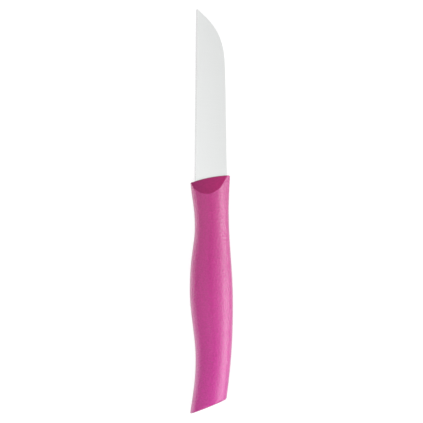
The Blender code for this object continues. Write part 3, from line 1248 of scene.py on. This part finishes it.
    def round_bar(self) -> Workpiece:
        """Make a bar of unit radius and length along Y, cut into rings, its section less round.

        Returns:
            The bar.
        """
        start = Vector((0.0, 0.0, 0.0))
        end = Vector((0.0, -1.0, 0.0))
        bar = Workpiece.bar("handle_moulded", self.columns, 1.0, start, end)
        quarter = self.columns // 4
        with bar.in_edit_mode():
            bar.pick(Element.EDGE, lambda edge: abs(edge.verts[0].co.y - edge.verts[1].co.y) > LEVEL)
            bpy.ops.mesh.subdivide(number_cuts=self.rings - 1)
            for step in range(1, quarter):
                angle = math.pi / 2 * step / quarter
                for side, fullness in ((Side.BELLY, self.belly_fullness), (Side.BACK, self.back_fullness)):
                    column = Vector((side.value * math.cos(angle), math.sin(angle)))
                    bar.pick(Element.VERT, lambda vert: self.in_column(vert, column))
                    across = math.cos(angle) ** (2 / fullness - 1)
                    up = math.sin(angle) ** (2 / fullness - 1)
                    resize((across, 1.0, up), start)
            self.flatten_flanks(bar)
        return bar

    @staticmethod
    def in_column(vert: bmesh.types.BMVert, column: Vector) -> bool:
        """Whether a vertex of the unit bar lies at a column's X, and at its Z or below as far."""
        close = 1e-3
        return abs(vert.co.x - column.x) < close and abs(abs(vert.co.z) - column.y) < close

    def flatten_flanks(self, bar: Workpiece) -> None:
        """Flatten the section above and below the back, most at the front. It needs edit mode.

        Args:
            bar: The unit bar, its section already made less round.
        """
        quarter = self.columns // 4
        fullness = self.back_fullness
        start_height = (1 - self.flank_start**fullness) ** (1 / fullness)
        slope = start_height / (1 - self.flank_start)
        for ring in range(self.rings):
            share = ring / self.rings
            depth = (self.length + self.spare) * share - self.spare
            amount = min(1.0, 1 - depth / self.flank_fade)
            if amount <= 0:
                break
            for step in range(1, quarter):
                angle = math.pi / 2 * step / quarter
                column = Vector((math.cos(angle) ** (2 / fullness), math.sin(angle) ** (2 / fullness)))
                if column.x < self.flank_start:
                    break
                bar.pick(
                    Element.VERT,
                    lambda vert: self.in_column(vert, column) and self.in_unshaped_ring(vert, share),
                )
                flat = (1 - column.x) * slope / column.y
                resize((1.0, 1.0, 1 + amount * (flat - 1)), Vector((0.0, 0.0, 0.0)))

    def in_unshaped_ring(self, vert: bmesh.types.BMVert, share: float) -> bool:
        """Whether a vertex lies in the unit bar's ring at this share of its length."""
        return math.hypot(vert.co.x, vert.co.z) > LEVEL and abs(vert.co.y + share) < LEVEL / self.rings

    def shape_rings(self, bar: Workpiece) -> None:
        """Bring each ring of the unit bar to its size, slant and place. It needs edit mode.

        Args:
            bar: The unit bar.
        """
        for ring in range(self.rings + 1):
            share = ring / self.rings
            belly_depth = -self.spare + (self.length + self.spare) * share
            back_depth = belly_depth - self.butt_rise * share
            belly = Vector((-self.belly.at(belly_depth), -belly_depth, 0.0))
            back = Vector((self.back.at(back_depth), -back_depth, 0.0))
            middle = (belly + back) / 2
            across = back - belly
            centre = Vector((0.0, -share, 0.0))
            bar.pick(Element.VERT, lambda vert: self.in_unshaped_ring(vert, share))
            resize((across.length / 2, 1.0, self.thickness.at(-middle.y) / 2), centre)
            turn(math.atan2(across.y, across.x), centre)
            move(middle - centre)

    def is_end(self, face: bmesh.types.BMFace, outward: Vector) -> bool:
        """Whether a face is the one that closes the butt."""
        return len(face.verts) >= self.columns and face.normal.dot(outward) > LEVEL

    def end_middle(self) -> Vector:
        """Find the middle of the butt's end before it is crowned.

        Returns:
            The middle.
        """
        back_depth = self.length - self.butt_rise
        across = (self.back.at(back_depth) - self.belly.at(self.length)) / 2
        return Vector((across, -(self.length + back_depth) / 2, 0.0))

    def round_butt(self, bar: Workpiece) -> None:
        """Round the butt's rim and crown its end. It needs edit mode.

        Args:
            bar: The shaped bar.
        """
        width = self.belly.at(self.length) + self.back.at(self.length - self.butt_rise)
        slant = math.atan2(self.butt_rise, width)
        outward = Vector((math.sin(slant), -math.cos(slant), 0.0))
        bar.pick(Element.FACE, lambda face: self.is_end(face, outward))
        bpy.ops.mesh.region_to_loop()
        bpy.ops.mesh.bevel(offset=self.butt_radius, segments=self.corner_steps)
        middle = self.end_middle()
        for step in range(self.crown_steps, 0, -1):
            bar.pick(Element.FACE, lambda face: self.is_end(face, outward))
            bpy.ops.mesh.extrude_region_move()
            # The last ring keeps a little width, so that a small face closes it.
            shrink = (step - 1) / step if step > 1 else 1.0 / self.columns
            resize((shrink, shrink, shrink), middle)
            rise = (step**2 - (step - 1) ** 2) / self.crown_steps**2
            move(outward * self.butt_crown * rise)
            middle += outward * self.butt_crown * rise

    def front_y(self, x: float) -> float:
        """Where the arc of the front lies at x."""
        across = x - self.front_crest
        return math.sqrt(self.front_radius**2 - across**2) - self.front_radius

    def front_path(self) -> list[Vector]:
        """Draw the path that the front's cutter follows.

        Returns:
            Its points, from beyond the belly to beyond the back.
        """
        left = -self.belly.at(-self.front_y(-self.front_belly_reach)) - self.corner_overrun
        right = self.back.at(0.0) + self.corner_overrun
        first = left + self.corner_radius
        last = right - self.corner_radius
        crest = []
        for step in range(self.arc_steps + 1):
            x = first + (last - first) * step / self.arc_steps
            crest.append(Vector((x, self.front_y(x), 0.0)))
        rise = []
        fall = []
        for step in range(self.corner_steps):
            angle = math.pi / 2 * step / self.corner_steps
            sideways = self.corner_radius * (1 - math.cos(angle))
            down = self.corner_radius * (1 - math.sin(angle))
            rise.append(Vector((left + sideways, crest[0].y - down, 0.0)))
            fall.insert(0, Vector((right - sideways, crest[-1].y - down, 0.0)))
        beyond = Vector((self.spare, 0.0, 0.0))
        return [rise[0] - beyond, *rise, *crest, *fall, fall[-1] + beyond]

    def front_cutter(self) -> Workpiece:
        """Make the solid that shapes the front: square across the land, slanted beyond it.

        Returns:
            A solid whose section, with its inner corners rounded, follows the front's path.
        """
        path = self.front_path()
        reach = self.front_thickness
        run = reach / math.tan(self.facet_angle)
        half_land = Vector((0.0, 0.0, self.land_width / 2))
        high = path[1] + Vector((0.0, run + self.spare, 0.0)) + half_land
        cutter = Workpiece.block("front_cutter", path[0] - half_land, high)
        foot = path[0].y
        with cutter.in_edit_mode():
            for up in (1.0, -1.0):
                cutter.pick(Element.FACE, lambda face: lies_across(face, "z", up * half_land.z))
                extrude(Vector((0.0, 0.0, up * reach)))
                cutter.pick(Element.VERT, lambda vert: self.is_wing_foot(vert, up, foot))
                move(Vector((0.0, -run, 0.0)))
            cutter.pick(Element.EDGE, lambda edge: self.is_ridge(edge, foot))
            turn_between = math.pi / 2 - self.facet_angle
            bpy.ops.mesh.bevel(
                offset=self.ridge_radius * math.tan(turn_between / 2),
                segments=self.ridge_steps,
            )
            for start, end in zip(path[1:], path[2:]):
                cutter.pick(Element.FACE, lambda face: lies_across(face, "x", start.x))
                extrude(end - start)
        return cutter

    def is_wing_foot(self, vert: bmesh.types.BMVert, up: float, foot: float) -> bool:
        """Whether a vertex of the front's cutter is the low outer one of its upper or lower wing."""
        return vert.co.z * up > self.front_thickness and vert.co.y < foot + SAME_PLACE

    def is_ridge(self, edge: bmesh.types.BMEdge, foot: float) -> bool:
        """Tell whether an edge of the front's cutter lies where the land meets a facet.

        Args:
            edge: The edge.
            foot: Where the cutter's low side lies, as Y.

        Returns:
            Whether it does.
        """
        first, second = (vert.co for vert in edge.verts)
        lengthwise = abs(first.x - second.x) > SAME_PLACE and abs(first.z - second.z) < SAME_PLACE
        return lengthwise and abs(first.y - foot) < SAME_PLACE and abs(first.z) < self.land_width

    def build(self, blade: Workpiece) -> Workpiece:
        """Make the whole handle and dress it.

        Args:
            blade: The finished blade, in the knife's own frame, which the plastic fits.

        Returns:
            The handle, in the knife's own frame.
        """
        grained = GRAINED_SIDES.material()
        smooth = SMOOTH_FRONT.material()
        handle = self.round_bar()
        handle.wear(grained)
        with handle.in_edit_mode():
            self.shape_rings(handle)
            self.round_butt(handle)
        handle.take_up()
        finer = handle.thing.modifiers.new("finer", "SUBSURF")
        finer.levels = 1
        finer.render_levels = 1
        bpy.ops.object.modifier_apply(modifier=finer.name)
        cutter = self.front_cutter()
        cutter.wear(smooth)
        handle.combine(cutter, Cut.TAKE_AWAY)
        slot = blade.copy("slot")
        slot.wear(smooth)
        with slot.in_edit_mode():
            bpy.ops.mesh.select_all(action="SELECT")
            bpy.ops.transform.shrink_fatten(value=self.joint_gap)
        handle.combine(slot, Cut.TAKE_AWAY)
        with handle.in_edit_mode():
            handle.pick(Element.FACE, lambda face: face.material_index > 0)
            bpy.ops.mesh.region_to_loop()
            bpy.ops.mesh.mark_sharp()
        handle.tidy(self.sharp_angle)
        return handle


@dataclass(frozen=True)
class Lamp:
    """A soft rectangular lamp that looks at the knife.

    Attributes:
        name: The lamp's name.
        azimuth: Where it stands, anticlockwise from +X seen from above.
        elevation: How high it stands above the floor, as an angle.
        height: Its height.
        brightness: How bright its face is, where a white floor in full light is 1.
        width: Its width, along the floor.
        distance: How far from the knife it stands.
        aim: The place along the knife that it looks at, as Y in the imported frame.
    """

    name: str
    azimuth: float
    elevation: float
    height: float
    brightness: float
    width: float = 1.4
    distance: float = 1.2
    aim: float = 0.0

    def light(self) -> None:
        """Put the lamp in the scene."""
        data = bpy.data.lights.new(self.name, "AREA")
        data.shape = "RECTANGLE"
        data.size = self.width
        data.size_y = self.height
        data.energy = self.brightness * math.pi * self.width * self.height
        thing = bpy.data.objects.new(self.name, data)
        around = math.radians(self.azimuth)
        up = math.radians(self.elevation)
        away = Vector((
            math.cos(up) * math.cos(around),
            math.cos(up) * math.sin(around),
            math.sin(up),
        ))
        thing.location = Vector((0.0, self.aim, 0.0)) + away * self.distance
        thing.rotation_euler = away.to_track_quat("Z", "Y").to_euler()
        thing.visible_camera = False
        bpy.context.scene.collection.objects.link(thing)


@dataclass
class Studio:
    """The white floor, the lamps, the world and the camera.

    Attributes:
        floor_size: The side of the square floor.
        floor_drop: How far below the knife's lowest point the floor lies.
        floor_glow: The share of the floor's white that needs no light, so that shadows stay faint.
        floor_white: The floor's own colour, which takes the shadows.
        world_light: The strength with which the world lights the knife.
        world_shine: What is added to that where the knife reflects the world.
        pixel: How much of the knife a pixel of the photograph shows.
        picture: The photograph's width and height in pixels.
        datum_pixel: Where the knife's datum lies in the photograph.
        lens: The camera's focal length in millimetres.
        sensor: The width of its sensor in millimetres.
        lamps: The soft lamps, far from the knife.
        cards: Two narrow cards of light beside the handle, which brighten its rims.
    """

    floor_size: float = 8.0
    floor_drop: float = 0.00002
    floor_glow: float = 0.78
    floor_white: float = 0.30
    world_light: float = 0.30
    world_shine: float = 0.05
    pixel: float = 0.000475
    picture: int = 423
    datum_pixel: tuple[float, float] = (210.8, 175.2)
    lens: float = 300.0
    sensor: float = 36.0
    lamps: tuple[Lamp, ...] = (
        Lamp("overhead", 0.0, elevation=90.0, height=1.2, brightness=0.40, width=1.2, distance=2.2),
        Lamp("right low", 352.0, elevation=4.0, height=0.17, brightness=6.3, width=0.8),
        Lamp("right middle", 352.0, elevation=13.0, height=0.21, brightness=3.3, width=0.8),
        Lamp("right main", 352.0, elevation=23.0, height=0.21, brightness=6.8, width=0.8),
        Lamp("right upper", 352.0, elevation=33.0, height=0.21, brightness=4.0, width=0.8),
        Lamp("right high", 352.0, elevation=51.0, height=0.55, brightness=1.35, width=1.0),
        Lamp("right top", 352.0, elevation=72.0, height=0.34, brightness=0.6),
        Lamp("left low", 188.0, elevation=4.0, height=0.17, brightness=3.6),
        Lamp("left high", 188.0, elevation=50.0, height=1.40, brightness=0.71),
        Lamp("butt", 270.0, elevation=58.0, height=0.45, brightness=3.1, width=0.7),
    )
    cards: tuple[Lamp, ...] = (
        Lamp(
            "left card",
            180.0,
            elevation=13.5,
            height=0.0036,
            brightness=2.3,
            width=0.12,
            distance=0.0203,
            aim=-0.040,
        ),
        Lamp(
            "right card",
            0.0,
            elevation=10.5,
            height=0.0036,
            brightness=1.0,
            width=0.12,
            distance=0.0203,
            aim=-0.040,
        ),
    )

    def light_world(self) -> None:
        """Make a world that is white to look at and lights the knife more softly."""
        world = bpy.data.worlds.new("studio")
        bpy.context.scene.world = world
        world.use_nodes = True
        sheet = NodeSheet(world.node_tree)
        background = sheet.tree.nodes["Background"]
        background.inputs["Color"].default_value = WHITE
        path = sheet.add("ShaderNodeLightPath").outputs
        unseen = sheet.maths("MULTIPLY_ADD", path["Is Glossy Ray"], self.world_shine, self.world_light)
        strength = sheet.maths("MAXIMUM", path["Is Camera Ray"], unseen)
        sheet.join(strength, background.inputs["Strength"])

    def lay_floor(self) -> None:
        """Lay a floor that looks white and keeps a faint shadow."""
        deselect_all()
        bpy.ops.mesh.primitive_plane_add(size=self.floor_size, location=(0.0, 0.0, -self.floor_drop))
        floor = bpy.context.object
        floor.name = "floor"
        sheet = MaterialSheet("white_floor")
        grey = (*[self.floor_white] * 3, 1.0)
        sheet.set(sheet.shader, base_color=grey, emission_color=WHITE, roughness=1.0, specular_ior_level=0.0)
        path = sheet.add("ShaderNodeLightPath").outputs
        seen = sheet.maths("MAXIMUM", path["Is Camera Ray"], path["Is Glossy Ray"])
        glow = sheet.maths("MULTIPLY", seen, self.floor_glow)
        sheet.join(glow, sheet.shader.inputs["Emission Strength"])
        sheet.material.cycles.emission_sampling = "NONE"
        floor.data.materials.append(sheet.material)

    def aim_camera(self, datum: Vector) -> None:
        """Put the camera straight above the point that the photograph's middle shows.

        Args:
            datum: The knife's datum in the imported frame.
        """
        middle = self.picture / 2
        right = (middle - self.datum_pixel[0]) * self.pixel
        down = (middle - self.datum_pixel[1]) * self.pixel
        data = bpy.data.cameras.new("camera")
        data.lens = self.lens
        data.sensor_width = self.sensor
        height = self.picture * self.pixel * self.lens / self.sensor
        camera = bpy.data.objects.new("camera", data)
        camera.location = datum + Vector((right, -down, height))
        bpy.context.scene.collection.objects.link(camera)
        bpy.context.scene.camera = camera

    def set_up(self, datum: Vector) -> None:
        """Set up everything round the knife.

        Args:
            datum: The knife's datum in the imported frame.
        """
        bpy.context.scene.view_settings.view_transform = "Standard"
        self.light_world()
        self.lay_floor()
        for lamp in self.lamps + self.cards:
            lamp.light()
        self.aim_camera(datum)


def hand_over(piece: Workpiece, node: str) -> None:
    """Let a finished piece ride on the knife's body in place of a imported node.

    Args:
        piece: The finished piece.
        node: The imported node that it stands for.
    """
    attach(piece.thing, BODY)
    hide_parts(node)
    piece.report()


def main() -> None:
    """Build the knife and the studio round it."""
    logging.basicConfig(level=logging.INFO, format="%(message)s")
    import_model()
    pattern = Blade()
    datum = pattern.datum()
    blade = pattern.build()
    handle = Handle().build(blade)
    for piece in (blade, handle):
        piece.place(datum)
    hand_over(blade, "blade")
    hand_over(handle, "handle")
    Studio().set_up(datum)


if __name__ == "__main__":
    main()
